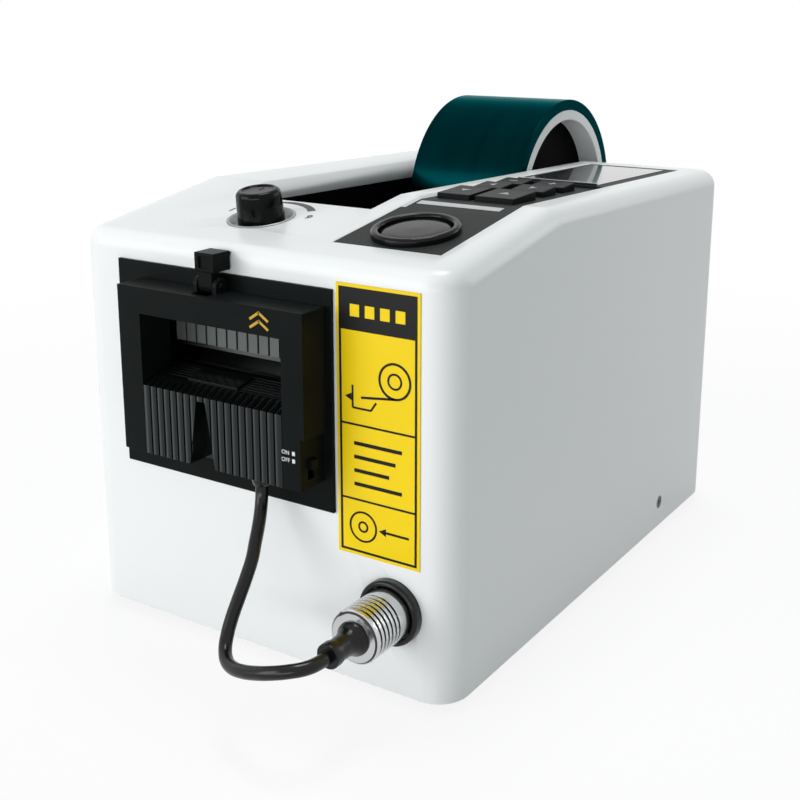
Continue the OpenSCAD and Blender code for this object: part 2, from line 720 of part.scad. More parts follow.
module exit_table() color("#26292b") place() {
    x0 = mouth_x0 + slip;
    x1 = mouth_x1 - slip;
    pitch = (x1 - x0) / table_ribs;
    flat_y = -frame_out + table_run;
    climb = atan(table_rise / table_run);
    difference() {
        union() {
            along_x(x0, x1) polygon([[-frame_out, frame_z0], [-frame_out, table_z1],
                [flat_y, table_z1 + table_rise], [1, table_top], [table_back, table_top],
                [table_back, frame_z0 + 6], [0.5, frame_z0 + 6], [-flange_t - slip, frame_z0]]);
            block(in_x0, in_x1, 0.5, table_back, frame_z0 + 6, table_top - 8);
        }
        for (i = [1:table_ribs - 1]) {
            x = x0 + i * pitch;
            block(x - groove_w / 2, x + groove_w / 2, -frame_out - 1, -frame_out + rib_depth,
                frame_z0 - 1, table_z1 + 1);
            translate([x - groove_w / 2, -frame_out, table_z1]) rotate([climb, 0, 0])
                translate([0, -2, -rib_depth * 0.8]) cube([groove_w, table_run + 1.4, 3]);
        }
        translate([notch_x, -frame_out - 1, frame_z0]) rotate([90, 0, 0]) mirror([0, 0, 1])
            linear_extrude(notch_depth + 1)
                polygon([[-notch_w / 2, -1], [-notch_top_w / 2, table_h - 1.5],
                    [notch_top_w / 2, table_h - 1.5], [notch_w / 2, -1]]);
        for (i = [0:5]) along_x(x0 - 1, x1 + 1)
            translate([flat_y + 1.6 + i * 1.35, top_of_table(flat_y + 1.6 + i * 1.35)])
                square([0.6, 0.8], center = true);
        on_table() translate([sensor_x, 0, 0])
            block(-sensor_w / 2, sensor_w / 2, -sensor_l / 2, sensor_l / 2, -sensor_t, 5);
        translate([gland_x, gland_y, frame_z0 - 1]) cylinder(d = cable_d + 3, h = 1 + gland_l);
    }
}

// Height of the table's sloped top at a distance behind the front plane.
function top_of_table(y) =
    table_z1 + table_rise + (y + frame_out - table_run) * 2.2 / (frame_out - table_run + 1);

sensor_x = notch_x;
sensor_w = 20;
sensor_l = 7.6;
sensor_t = 1;

module on_table() translate([0, -3.6, top_of_table(-3.6)])
    rotate([atan(2.2 / (frame_out - table_run + 1)), 0, 0]) children();

module sensor_window() color("#0a0a0b") place() on_table()
    block(sensor_x - sensor_w / 2, sensor_x + sensor_w / 2, -sensor_l / 2, sensor_l / 2, -sensor_t, 0.6);

module fixed_blade() color("silver") place() {
    bevel = 1;
    along_x(in_x0 + 0.5, leg_x0 - 1)
        polygon([[table_back, table_top - 14], [table_back, table_top - bevel],
            [table_back + fixed_t - 0.3, table_top], [table_back + fixed_t, table_top],
            [table_back + fixed_t, table_top - 14]]);
}

module blade_carrier() color("slategray") place() difference() {
    union() {
        block(in_x0 + slip, in_x1 - slip, carrier_y, carrier_y1, carrier_z, carrier_z + carrier_h);
        block(in_x0 - guide_depth + slip, in_x1 + guide_depth - slip, carrier_y, carrier_y1,
            carrier_z + 2, carrier_z + carrier_h);
        block(leg_x0, leg_x1, carrier_y, carrier_y1, pin_z - yoke_h / 2, carrier_z + 1);
        block(crank_x - 1, leg_x1, carrier_y, carrier_y1, pin_z - yoke_h / 2, pin_z + yoke_h / 2);
    }
    pin_r = crank_pin_d / 2;
    block(pin_x - pin_r - 1, crank_x + crank_throw + pin_r + 1, carrier_y - 1, carrier_y1 + 1,
        pin_z - pin_r - pin_slack, pin_z + pin_r + pin_slack);
}

module moving_blade() color("silver") place()
    along_x(in_x0 + 0.5, leg_x0 - 1)
        polygon([[blade_y, blade_z], [blade_y + 0.3, blade_z], [blade_y + blade_t, blade_z + 2],
            [blade_y + blade_t, carrier_z + carrier_h - 4], [blade_y, carrier_z + carrier_h - 4]]);

module presser_comb() color("lightgray") place() {
    x0 = mouth_x0 + slip;
    x1 = mouth_x1 - slip;
    pitch = (x1 - x0) / comb_fingers;
    difference() {
        block(x0, x1, comb_y, comb_y + comb_t, comb_z, box_z1 - box_t);
        for (i = [1:comb_fingers - 1])
            block(x0 + i * pitch - 0.35, x0 + i * pitch + 0.35, comb_y - 1, comb_y + comb_t + 1,
                comb_z - 1, comb_z + 9);
    }
}

module feed_shaft() color("silver") place() rod_x(box_x0 - 1.5, box_x1 + 0.6, feed_y, feed_z, feed_shaft_d);

module feed_roller() color("#3a3c3e") place() difference() {
    rod_x(roller_x0, roller_x1, feed_y, feed_z, feed_d);
    rod_x(roller_x0 - 1, roller_x1 + 1, feed_y, feed_z, feed_shaft_d);
}

module pinch_shaft() color("silver") place()
    rod_x(box_x0 - 1.5, box_x1 + 0.6, feed_y, pinch_z, pinch_shaft_d);

module pinch_roller() color("#c9c9c4") place() difference() {
    rod_x(roller_x0, roller_x1, feed_y, pinch_z, pinch_d);
    rod_x(roller_x0 - 1, roller_x1 + 1, feed_y, pinch_z, pinch_shaft_d);
}

// Polar angle, in degrees, of an involute that starts on the base circle rb, at radius r.
function involute_a(rb, r) = r <= rb ? 0 : (sqrt(pow(r / rb, 2) - 1) * 180 / PI - acos(rb / r));

// A spur gear drawn around the origin, with a tooth on +X.
module gear_2d(teeth, backlash) {
    rp = gear_mod * teeth / 2;
    ra = rp + gear_mod * 0.95;
    rf = rp - gear_mod * 1.25;
    rb = rp * cos(20);
    half = 90 / teeth - backlash / 2 / rp * 180 / PI + involute_a(rb, rp);
    radii = [rf, max(rb, rf), rp, (rp + ra) / 2, ra];
    polygon([for (i = [0:teeth - 1], s = [-1, 1], k = [0:len(radii) - 1])
        let (r = radii[s < 0 ? k : len(radii) - 1 - k], a = 360 * i / teeth + s * (half - involute_a(rb, r)))
        r * [cos(a), sin(a)]]);
}

backlash = 0.12;

module feed_gear() color("ivory") place() difference() {
    translate([0, feed_y, feed_z]) along_x(gear_x0, gear_x1) gear_2d(gear_teeth, backlash);
    rod_x(gear_x0 - 1, gear_x1 + 1, feed_y, feed_z, feed_shaft_d);
}

module motor_pinion() color("gold") place() {
    translate([0, pinion_y, pinion_z]) along_x(gear_x0, gear_x1) rotate(pinion_turn)
        gear_2d(pinion_teeth, backlash);
    rod_x(gear_x1 - eps, motor_plate_x + plate_t + 8, pinion_y, pinion_z, motor_shaft_d);
}

module motor_bracket() color("silver") place() difference() {
    union() {
        block(motor_plate_x, motor_plate_x + plate_t, pinion_y - 14, pinion_y + 14, base_t, pinion_z + 16);
        block(motor_plate_x, motor_plate_x + 16, pinion_y - 14, pinion_y + 14, base_t, base_t + plate_t);
    }
    rod_x(motor_plate_x - 1, motor_plate_x + plate_t + 1, pinion_y, pinion_z, 10);
}

module feed_motor() color("dimgray") place() {
    x0 = motor_plate_x + plate_t;
    difference() {
        union() {
            rod_x(x0, x0 + feed_motor_l, pinion_y, pinion_z, feed_motor_d);
            rod_x(motor_plate_x + 0.4, x0 + eps, pinion_y, pinion_z, 9.6);
        }
        rod_x(motor_plate_x - 1, x0 + 8 + gap, pinion_y, pinion_z, motor_shaft_d + 2 * run_fit);
    }
}

module cutter_bracket() color("silver") place() difference() {
    union() {
        block(crank_x - 16, crank_x + 15, cutter_plate_y, cutter_plate_y + plate_t, base_t, box_z0 - 1);
        block(crank_x - 16, crank_x + 15, cutter_plate_y, cutter_plate_y + 14, base_t, base_t + plate_t);
    }
    rod_y(crank_x, cutter_plate_y - 1, cutter_plate_y + plate_t + 1, crank_z, crank_shaft_d + 2);
}

module cutter_motor() color("dimgray") place() {
    y0 = cutter_plate_y + plate_t;
    difference() {
        union() {
            rod_y(crank_x, y0, y0 + 14, crank_z, cutter_motor_d);
            rod_y(crank_x, y0 + 14 - eps, y0 + 28, crank_z, cutter_motor_d - 4);
        }
        rod_y(crank_x, y0 - 1, y0 + 8 + gap, crank_z, crank_shaft_d + 2 * run_fit);
    }
}

module crank() color("goldenrod") place() {
    rod_y(crank_x, crank_y, crank_y + crank_t, crank_z, 2 * crank_r);
    rod_y(crank_x, crank_y + crank_t - eps, cutter_plate_y + plate_t + 8, crank_z, crank_shaft_d);
    rod_y(pin_x, carrier_y, crank_y + eps, pin_z, crank_pin_d);
}

module latch_lever() color("#222426") place() difference() {
    x0 = latch_x - latch_w / 2;
    x1 = latch_x + latch_w / 2;
    union() {
        rod_x(x0, x1, latch_y, latch_z, 4.4);
        block(x0, x1, latch_y - 2.2, latch_y + 0.6, latch_z, latch_z + 5);
        block(x0 - 1.1, x1 + 1.1, latch_y - 2.4, -0.4, latch_z + 4.4, latch_z + 10.2);
        block(x0 + 0.4, x1 - 0.4, -0.5, 1.2, latch_z + 5.4, latch_z + 7.6);
    }
    rod_x(x0 - 1, x1 + 1, latch_y, latch_z, latch_pin_d + 2 * run_fit);
    block(x0 + 0.4, x1 - 0.4, latch_y - 3, latch_y - 1.6, latch_z + 5.4, latch_z + 9);
}

module latch_pin() color("silver") place()
    rod_x(latch_x - latch_w / 2 - gap - ear_t, latch_x + latch_w / 2 + gap + ear_t,
        latch_y, latch_z, latch_pin_d);

module slide_switch() color("#2a2c2e") place() {
    x1 = switch_x1 - gap;
    block(x1 - 2.4, x1, switch_y - 3, switch_y + 3, switch_z - 2.6, switch_z + 2.6);
    block(x1 - 0.1, box_x1 + 1.6, switch_y - 1.3, switch_y + 1.3, switch_z - 1.5, switch_z + 1.5);
}

module cable_gland() color("#1b1c1e") place() translate([gland_x, gland_y, frame_z0 - gland_l])
    rotate_extrude()
        polygon([[0, 0], [cable_d / 2 + 0.6, 0], [cable_d / 2 + 1.4, gland_l],
            [cable_d / 2 + 1.4, 2 * gland_l - slip], [0, 2 * gland_l - slip]]);

module cable() color("#1b1c1e") place() {
    n = len(CABLE);
    points = [for (i = [0:n - 1]) each ring_points(CABLE, i, cable_d / 2, cable_sides)];
    walls = [for (i = [0:n - 2], s = [0:cable_sides - 1])
        let (a = i * cable_sides + s, b = i * cable_sides + (s + 1) % cable_sides)
        each [[a, b, b + cable_sides], [a, b + cable_sides, a + cable_sides]]];
    first = [for (s = [1:cable_sides - 2]) [0, s + 1, s]];
    end = (n - 1) * cable_sides;
    last = [for (s = [1:cable_sides - 2]) [end, end + s, end + s + 1]];
    polyhedron(points, concat(walls, first, last));
}

module plug_shell() color("gainsboro") place() {
    grooves = 6;
    ring_gap = 0.8;
    pitch = plug_l / (grooves + 4);
    difference() {
        union() {
            rod_y(socket_x, plug_end + 0.8, plug_start, socket_z, plug_d);
            translate([socket_x, plug_end, socket_z]) rotate([-90, 0, 0])
                cylinder(d1 = plug_d - 1.6, d2 = plug_d, h = 0.81);
        }
        for (i = [1:grooves]) difference() {
            rod_y(socket_x, plug_end + i * pitch, plug_end + i * pitch + ring_gap, socket_z, plug_d + 2);
            rod_y(socket_x, plug_end, plug_start, socket_z, plug_d - 1.2);
        }
    }
    rod_y(socket_x, plug_start - eps, wall + 4, socket_z, nose_d);
}

module plug_boot() color("#1b1c1e") place() translate([socket_x, plug_end, socket_z]) rotate([90, 0, 0])
    rotate_extrude()
        polygon([[0, 0], [boot_r + 1.8, 0], [boot_r + 1.6, 0.9], [boot_r + 0.6, 2.6], [boot_r, 4.6],
            [boot_r - 0.1, boot_l - 3.4], [boot_r + 0.3, boot_l - 2.9], [boot_r + 0.3, boot_l - 0.4],
            [boot_r, boot_l], [0, boot_l]]);

module socket_bezel() color("#1e2022") place() {
    inner = plug_d / 2 + slip;
    round = (bezel_r - inner) / 2;
    translate([socket_x, 0, socket_z]) rotate([90, 0, 0]) rotate_extrude() {
        translate([inner, 0]) square([2 * round, bezel_out - round]);
        translate([inner + round, bezel_out - round]) circle(round);
    }
}

module socket_insert() color("#2c2e30") place() difference() {
    union() {
        rod_y(socket_x, plug_start + gap, 16, socket_z, barrel_d);
        rod_y(socket_x, wall, wall + 3, socket_z, barrel_d + 6);
    }
    rod_y(socket_x, plug_start - 1, wall + 5, socket_z, nose_d + 2 * run_fit);
}

module panel_plate(grow, low) difference() {
    intersection() {
        below_top(panel_drop);
        block(panel_x0 - grow, panel_x1 + grow, panel_y - grow, panel_y1 + grow, 0, ridge_h);
    }
    below_top(low);
}

function key_x0(i) = key_x[KEYS[i][0]] + KEYS[i][3];

function key_x1(i) = key_x[KEYS[i][0]] + key_widths[KEYS[i][0]] - KEYS[i][3];

module key_hole(i, play) on_rear(0, KEYS[i][1])
    block(key_x0(i) - play, key_x1(i) + play, -play, KEYS[i][2] + play, -9, 9);

module control_panel() color("#2b2e30") place() difference() {
    union() {
        panel_plate(0, panel_low);
        for (sx = [-1, 1], v = [post_v, window_v0 - 6])
            on_rear(ctl_x + sx * (board_half - 2.5), v)
                translate([0, 0, board_w0]) cylinder(d = post_d, h = -board_w0 - panel_low + 0.5);
        on_rear(ctl_x, window_v0 - 2) block(-window_half, window_half, -0.8, 0.8, -panel_low + 0.4, 0.6);
    }
    difference() {
        block(panel_x0 - 1, panel_x1 + 1, well_y, ridge_y + window_v0 - 4, front_h / 2, ridge_h + 5);
        below_top(panel_drop + well_d);
    }
    for (i = [0:5]) key_hole(i, gap);
    on_slope(button_x, button_v) translate([0, 0, -15]) cylinder(d = button_d + 4.6 + 2 * run_fit, h = 30);
    on_rear(ctl_x, 0) {
        block(-window_half - slip, window_half + slip, window_v0 - slip, window_v1 + slip,
            -window_t - panel_drop, 5);
        block(-module_half - gap, module_half + gap, module_v0 - gap, module_v1 + gap, -9, 5);
    }
}

module display_window() color("#5c6467") place() on_rear(ctl_x, 0)
    block(-window_half, window_half, window_v0, window_v1, -window_t - panel_drop, 0);

module display_module() color("#1a1a1a") place() on_rear(ctl_x, 0)
    block(-module_half, module_half, module_v0, module_v1, board_w0, -window_t - panel_drop);

module control_board() color("#1d6b3a") place() {
    on_rear(ctl_x, 0) block(-board_half, board_half, board_v0, window_v1 - 6, board_w0 - board_t, board_w0);
    for (i = [0:5]) on_rear((key_x0(i) + key_x1(i)) / 2, KEYS[i][1] + KEYS[i][2] / 2)
        translate([0, 0, board_w0 - eps]) cylinder(d = 5, h = dome_h);
}

module key(i) color("#1b1d1f") place() on_rear(0, KEYS[i][1]) {
    length = KEYS[i][2];
    foot = -panel_low - slip - 1.4;
    along_x(key_x0(i), key_x1(i))
        polygon([[0, foot], [length, foot], [length, key_rear_h], [0, key_front_h]]);
    block(key_x0(i), key_x1(i), -key_tab, length + key_tab, foot, -panel_low - slip);
}

module round_button() color("#1a1c1e") place() on_slope(button_x, button_v) rotate_extrude()
    polygon([[0, -button_stem], [4, -button_stem], [4, -4], [button_d / 2, -4], [button_d / 2, 0.4],
        [button_d / 2 - 0.6, 1], [button_d / 2 - 3, 1.3], [0, 1.5]]);

module button_ring() color("#202224") place() on_slope(button_x, button_v) rotate_extrude() {
    inner = button_d / 2 + gap;
    polygon([[inner, -panel_t], [inner + 2, -panel_t], [inner + 2, -panel_drop],
        [inner + ring_t + 0.2, -panel_drop], [inner + ring_t + 0.2, ring_h - 0.7],
        [inner + ring_t - 0.5, ring_h], [inner + 0.6, ring_h], [inner, ring_h - 0.6]]);
}

module button_switch() color("#3a3d40") place() on_slope(button_x, button_v) {
    floor_w = -button_stem - 3.5;
    difference() {
        translate([0, 0, floor_w - 1.6])
            cylinder(d = button_d + 2 * gap + 2 * cup_t, h = 1.6 - floor_w - panel_low * cos(slope_a));
        translate([0, 0, floor_w]) cylinder(d = button_d + 2 * gap, h = 20);
    }
    translate([0, 0, floor_w - eps]) cylinder(d = 6, h = 3.5 - button_travel - gap);
}

module selector_knob() color("#18191b") place() on_slope(knob_x, knob_v) {
    foot = -dish_h + 0.5;
    rotate_extrude()
        polygon([[0, foot], [knob_d / 2, foot], [knob_d / 2, foot + 1.6], [knob_d / 2 - 0.6, knob_h - 2.4],
            [knob_d / 2 - 1.4, knob_h - 0.8], [knob_d / 2 - 2.6, knob_h], [knob_d / 2 - 3.2, knob_h - 0.2],
            [knob_d / 2 - 4.2, knob_h - 0.9], [0, knob_h - 1.2]]);
    translate([0, 0, -dish_low - 8]) cylinder(d = stem_d, h = dish_low + 8 + foot + eps);
}

module dial_plate() color("lightgray") place() on_slope(knob_x, knob_v) rotate_extrude() {
    hole = bush_d / 2 + slip;
    polygon([[hole, -dish_low], [cup_d / 2, -dish_low], [cup_d / 2, 0], [dial_d / 2, 0], [dial_d / 2, 0.2],
        [dial_d / 2 - 0.3, 0.4], [cup_d / 2 + 0.2, 0.4], [cup_d / 2 - 1.6, -dish_h], [hole, -dish_h]]);
}

module selector_pot() color("slategray") place() on_slope(knob_x, knob_v) difference() {
    union() {
        translate([-8.5, -8.5, -dish_low - 9.5]) cube([17, 17, 9.5]);
        translate([0, 0, -dish_low - eps]) cylinder(d = bush_d, h = dish_t);
    }
    translate([0, 0, -dish_low - 8 - gap]) cylinder(d = stem_d + 2 * run_fit, h = 30);
}

module dc_inlet() color("#1c1d1f") place() difference() {
    union() {
        rod_y(rear_x, case_l - wall - 12, case_l + 1.5, inlet_z, inlet_d + 4);
        rod_y(rear_x, case_l, case_l + 1.5, inlet_z, inlet_d + 8);
        block(rear_x - 7, rear_x + 7, case_l - wall - 13, case_l - wall, inlet_z - 6, inlet_z + 6);
    }
    difference() {
        rod_y(rear_x, case_l - wall - 8, case_l + 3, inlet_z, inlet_d);
        rod_y(rear_x, case_l - wall - 9, case_l, inlet_z, 2);
    }
}

module rocker_bezel() color("#1c1d1f") place() {
    half_w = rocker_w / 2 + gap;
    difference() {
        union() {
            block(rear_x - half_w - 3, rear_x + half_w + 3, case_l, case_l + 1.5,
                rocker_z - rocker_room - 3, rocker_z + rocker_room + 3);
            block(rear_x - half_w - 1, rear_x + half_w + 1, case_l - 14, case_l + eps,
                rocker_z - rocker_room - 1, rocker_z + rocker_room + 1);
        }
        block(rear_x - half_w, rear_x + half_w, case_l - 12, case_l + 2,
            rocker_z - rocker_room, rocker_z + rocker_room);
        rod_x(rear_x - half_w - 2, rear_x + half_w + 2, case_l - rocker_back, rocker_z, 3 + 2 * run_fit);
    }
}

module power_rocker() color("#232527") place() {
    half = rocker_l / 2;
    translate([0, case_l - rocker_back, rocker_z]) rotate([rocker_tilt, 0, 0]) {
        along_x(rear_x - rocker_w / 2, rear_x + rocker_w / 2)
            polygon([[rocker_back + 1.2, 0], [rocker_back + 2.4, half], [-1.5, half - 1], [-3, 0],
                [-1.5, 1 - half], [rocker_back + 2.4, -half]]);
        rod_x(rear_x - rocker_w / 2 - gap - 1, rear_x + rocker_w / 2 + gap + 1, 0, 0, 3);
    }
}

module front_decal() color("gold") place()
    block(flange_x1 + decal_gap, right - decal_side, -decal_t, 0, socket_z + decal_lift,
        flange_z1 + decal_top);

base_plate();
feet();
base_screws();
case_shell();
side_screws();
bay_tray();
hub_axle();
tape_hub();
tape_core();
tape_winding();
guide_shaft();
guide_roller();
cutter_housing();
exit_table();
sensor_window();
fixed_blade();
blade_carrier();
moving_blade();
presser_comb();
feed_shaft();
feed_roller();
feed_gear();
pinch_shaft();
pinch_roller();
motor_bracket();
feed_motor();
motor_pinion();
cutter_bracket();
cutter_motor();
crank();
latch_lever();
latch_pin();
slide_switch();
cable_gland();
cable();
plug_shell();
plug_boot();
socket_bezel();
socket_insert();
control_panel();
display_window();
display_module();
control_board();
round_button();
button_ring();
button_switch();
key(0);  // key_1
key(1);  // key_2
key(2);  // key_3
key(3);  // key_4
key(4);  // key_5
key(5);  // key_6
selector_knob();
dial_plate();
selector_pot();
dc_inlet();
power_rocker();
rocker_bezel();
front_decal();
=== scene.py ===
import math
import bmesh
import bpy
from mathutils import Matrix, Vector


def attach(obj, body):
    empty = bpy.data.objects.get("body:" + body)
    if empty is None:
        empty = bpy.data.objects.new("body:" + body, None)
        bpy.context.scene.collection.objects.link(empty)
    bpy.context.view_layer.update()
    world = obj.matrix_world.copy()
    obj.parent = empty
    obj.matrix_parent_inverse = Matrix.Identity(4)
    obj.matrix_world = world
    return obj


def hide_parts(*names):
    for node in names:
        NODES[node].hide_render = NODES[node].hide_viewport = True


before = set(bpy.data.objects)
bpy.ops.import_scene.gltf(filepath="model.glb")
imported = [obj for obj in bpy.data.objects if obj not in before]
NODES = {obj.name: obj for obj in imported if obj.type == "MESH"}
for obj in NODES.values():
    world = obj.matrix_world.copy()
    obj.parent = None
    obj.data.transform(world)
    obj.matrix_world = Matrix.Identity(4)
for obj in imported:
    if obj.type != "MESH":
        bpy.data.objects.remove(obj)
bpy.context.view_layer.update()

SCENE = bpy.context.scene
MM = 0.001

# Case, in millimetres from its front plane and lower rim
MID_Y, FOOT_H = 113.9, 3.0
CASE_L, FRONT_H, REAR_H = 212.0, 130.0, 136.5
RIDGE_Y, RIDGE_H = 64.5, 140.0
SLOPE = math.atan((RIDGE_H - FRONT_H) / RIDGE_Y)
FALL = math.atan((RIDGE_H - REAR_H) / (CASE_L - RIDGE_Y))
DECAL_T = 0.3
UNIT_FACE_Y = -13.0
SOCKET_X, SOCKET_Z = 52.5, 27
RIB_START, RIB_PITCH, RIB_REAR_Y = -32.1, 2.735, -7.6
KNOB_X, KNOB_V = -16.8, 28.4
KEY_COUNT = 6


def at(x, y, z):
    """A point of the case, in millimetres from its front plane and lower rim, in the row frame."""
    return Vector((x * MM, (y - MID_Y) * MM, (z + FOOT_H) * MM))


def plane(x, y, z, tilt):
    """A drawing plane in millimetres at a point of the case: X to the right, Y up the plane, Z out of it."""
    return Matrix.Translation(at(x, y, z)) @ Matrix.Rotation(tilt, 4, "X") @ Matrix.Scale(MM, 4)


def slope_plane(x, v):
    """The sloped front top, v up the slope from the front edge."""
    return plane(x, v * math.cos(SLOPE), FRONT_H + v * math.sin(SLOPE), SLOPE)


def rear_plane(x, v):
    """The falling rear top, v back from the ridge."""
    return plane(x, RIDGE_Y + v * math.cos(FALL), RIDGE_H - v * math.sin(FALL), -FALL)


def front_plane(x, y, z):
    """A plane that faces the front."""
    return plane(x, y, z, math.pi / 2)


def lifted(matrix, x=0.0, y=0.0, z=0.0):
    """A drawing plane moved within itself, in millimetres."""
    return matrix @ Matrix.Translation((x, y, z))


def link(obj):
    SCENE.collection.objects.link(obj)
    return obj


# Camera, fitted to the photograph
CAMERA_PLACE = (237.17, -277.83, 200.24)
CAMERA_DIP, CAMERA_TURN = 0.2481, 0.58
camera_data = bpy.data.cameras.new("camera")
camera_data.lens = 55.61
camera_data.shift_y = -0.1
camera_data.sensor_width = 36.0
camera_data.clip_start = 0.01
camera = link(bpy.data.objects.new("camera", camera_data))
camera.location = at(*CAMERA_PLACE)
camera.rotation_euler = (math.pi / 2 - CAMERA_DIP, 0.0, CAMERA_TURN)
SCENE.camera = camera


# Materials
GRAIN_DEPTH = 0.0002
RIB_ROUND = 0.0004
COAT_ROUGH = 0.08
LEAST_ROUGH = 0.02
# Radii, in metres, of the ring painted dark as shade in the plug's grooves
GROOVE_SHADE_R = (0.0074, 0.0079)


def shader(name):
    mat = bpy.data.materials.new(name)
    mat.use_nodes = True
    return mat, mat.node_tree.nodes, mat.node_tree.links, mat.node_tree.nodes["Principled BSDF"]


def noise(nodes, links, scale, detail, stretch=(1, 1, 1)):
    """Noise in the object's own coordinates."""
    coord = nodes.new("ShaderNodeTexCoord")
    mapping = nodes.new("ShaderNodeMapping")
    mapping.inputs["Scale"].default_value = stretch
    tex = nodes.new("ShaderNodeTexNoise")
    tex.inputs["Scale"].default_value = scale
    tex.inputs["Detail"].default_value = detail
    links.new(coord.outputs["Object"], mapping.inputs["Vector"])
    links.new(mapping.outputs["Vector"], tex.inputs["Vector"])
    return tex.outputs["Fac"]


def ramp(nodes, links, factor, low, high):
    """A colour or grey value that runs between two (position, value) stops."""
    node = nodes.new("ShaderNodeValToRGB")
    for element, (position, value) in zip(node.color_ramp.elements, (low, high)):
        element.position = position
        element.color = (*value, 1) if hasattr(value, "__len__") else (value, value, value, 1)
    links.new(factor, node.inputs["Fac"])
    return node.outputs["Color"]


def maths(nodes, links, operation, first, second=0.0):
    """A math node whose second input is a socket or a number."""
    node = nodes.new("ShaderNodeMath")
    node.operation = operation
    links.new(first, node.inputs[0])
    if hasattr(second, "links"):
        links.new(second, node.inputs[1])
    else:
        node.inputs[1].default_value = second
    return node.outputs[0]


def add_bump(nodes, links, bsdf, height, strength, distance):
    node = nodes.new("ShaderNodeBump")
    node.inputs["Strength"].default_value = strength
    node.inputs["Distance"].default_value = distance
    links.new(height, node.inputs["Height"])
    links.new(node.outputs["Normal"], bsdf.inputs["Normal"])


def shade(rgb, k):
    return tuple(min(1.0, c * k) for c in rgb)


def surface(name, rgb, rough, metal=0.0, grain=3000, bump=0.05, vary=0.06, coat=0.0, specular=0.5,
            stretch=(1, 1, 1), rough_vary=0.08, drift_scale=45, detail=3.0):
    """A moulded or machined surface: fine grain, drifting colour and uneven gloss."""
    mat, nodes, links, bsdf = shader(name)
    bsdf.inputs["Metallic"].default_value = metal
    bsdf.inputs["Specular IOR Level"].default_value = specular
    bsdf.inputs["Coat Weight"].default_value = coat
    bsdf.inputs["Coat Roughness"].default_value = COAT_ROUGH
    drift = noise(nodes, links, drift_scale, detail)
    colour = ramp(nodes, links, drift, (0.2, shade(rgb, 1 - vary)), (0.8, shade(rgb, 1 + vary)))
    links.new(colour, bsdf.inputs["Base Color"])
    fine = noise(nodes, links, grain, detail, stretch)
    gloss = ramp(nodes, links, fine, (0.3, max(LEAST_ROUGH, rough - rough_vary)), (0.7, rough + rough_vary))
    links.new(gloss, bsdf.inputs["Roughness"])
    if bump:
        add_bump(nodes, links, bsdf, fine, bump, GRAIN_DEPTH)
    return mat


BRUSHED = (0.05, 1, 1)
white_case = surface("white_case", (0.86, 0.87, 0.87), 0.3, grain=9, bump=0, vary=0.008, specular=0.35,
                     rough_vary=0.02, drift_scale=7, detail=0.0)
base_grey = surface("base_grey", (0.36, 0.37, 0.38), 0.5, bump=0.15)
black_satin = surface("black_satin", (0.0062, 0.0078, 0.0078), 0.36, grain=5000, bump=0.03, vary=0.2,
                      specular=0.045)
bay_black = surface("bay_black", (0.0012, 0.0012, 0.0013), 0.55, grain=5000, bump=0.2, vary=0.25,
                    specular=0.012)
knob_black = surface("knob_black", (0.0016, 0.0019, 0.0019), 0.14, grain=2500, bump=0.01, vary=0.2,
                     specular=0.1, rough_vary=0.03)
panel_grey = surface("panel_grey", (0.024, 0.0265, 0.0265), 0.5, grain=6000, bump=0.2, vary=0.15,
                     specular=0.06)
key_black = surface("key_black", (0.012, 0.0132, 0.0132), 0.2, grain=2500, bump=0.02, vary=0.15,
                    specular=0.015, rough_vary=0.04)
gloss_black = surface("gloss_black", (0.005, 0.0052, 0.0055), 0.12, grain=700, bump=0.01, vary=0.15,
                      specular=0.16, rough_vary=0.04)
rubber_black = surface("rubber_black", (0.004, 0.0042, 0.0045), 0.24, grain=4000, bump=0.04, vary=0.2,
                       specular=0.28, rough_vary=0.05)
rubber_grey = surface("rubber_grey", (0.05, 0.052, 0.055), 0.62, grain=2500, bump=0.4, vary=0.15)
blade_steel = surface("blade_steel", (0.09, 0.092, 0.095), 0.34, metal=1.0, grain=1500, bump=0.08,
                      stretch=BRUSHED)
steel = surface("steel", (0.55, 0.56, 0.57), 0.3, metal=1.0, grain=1500, bump=0.1, stretch=BRUSHED)
brass = surface("brass", (0.62, 0.42, 0.14), 0.3, metal=1.0, grain=1500, bump=0.1)
gear_ivory = surface("gear_ivory", (0.72, 0.7, 0.6), 0.4, bump=0.1)
board_green = surface("board_green", (0.02, 0.16, 0.06), 0.4, grain=1200, bump=0.1, vary=0.2)
core_card = surface("core_card", (0.87, 0.885, 0.885), 0.55, grain=1800, bump=0.2, vary=0.05,
                    stretch=(0.3, 1, 1))
dial_metal = surface("dial_metal", (0.3, 0.31, 0.32), 0.34, metal=0.6, grain=2500, bump=0.1)
comb_grey = surface("comb_grey", (0.095, 0.105, 0.102), 0.42, metal=0.3, grain=1500, bump=0.08)
white_print = surface("white_print", (0.75, 0.75, 0.75), 0.5, bump=0.1)
key_print = surface("key_print", (0.34, 0.36, 0.36), 0.45, bump=0.05)
grey_print = surface("grey_print", (0.025, 0.027, 0.028), 0.5, bump=0.1)
black_print = surface("black_print", (0.004, 0.004, 0.004), 0.45, bump=0.1, specular=0.2)
gold_print = surface("gold_print", (0.5, 0.3, 0.02), 0.42, grain=2500, bump=0.1, metal=0.3)
yellow_sheet = surface("yellow_sheet", (0.93, 0.66, 0.004), 0.38, grain=2200, bump=0.05, vary=0.02,
                       coat=0.1, specular=0.2)
pale_strip = surface("pale_strip", (0.5, 0.51, 0.52), 0.4, bump=0.1)


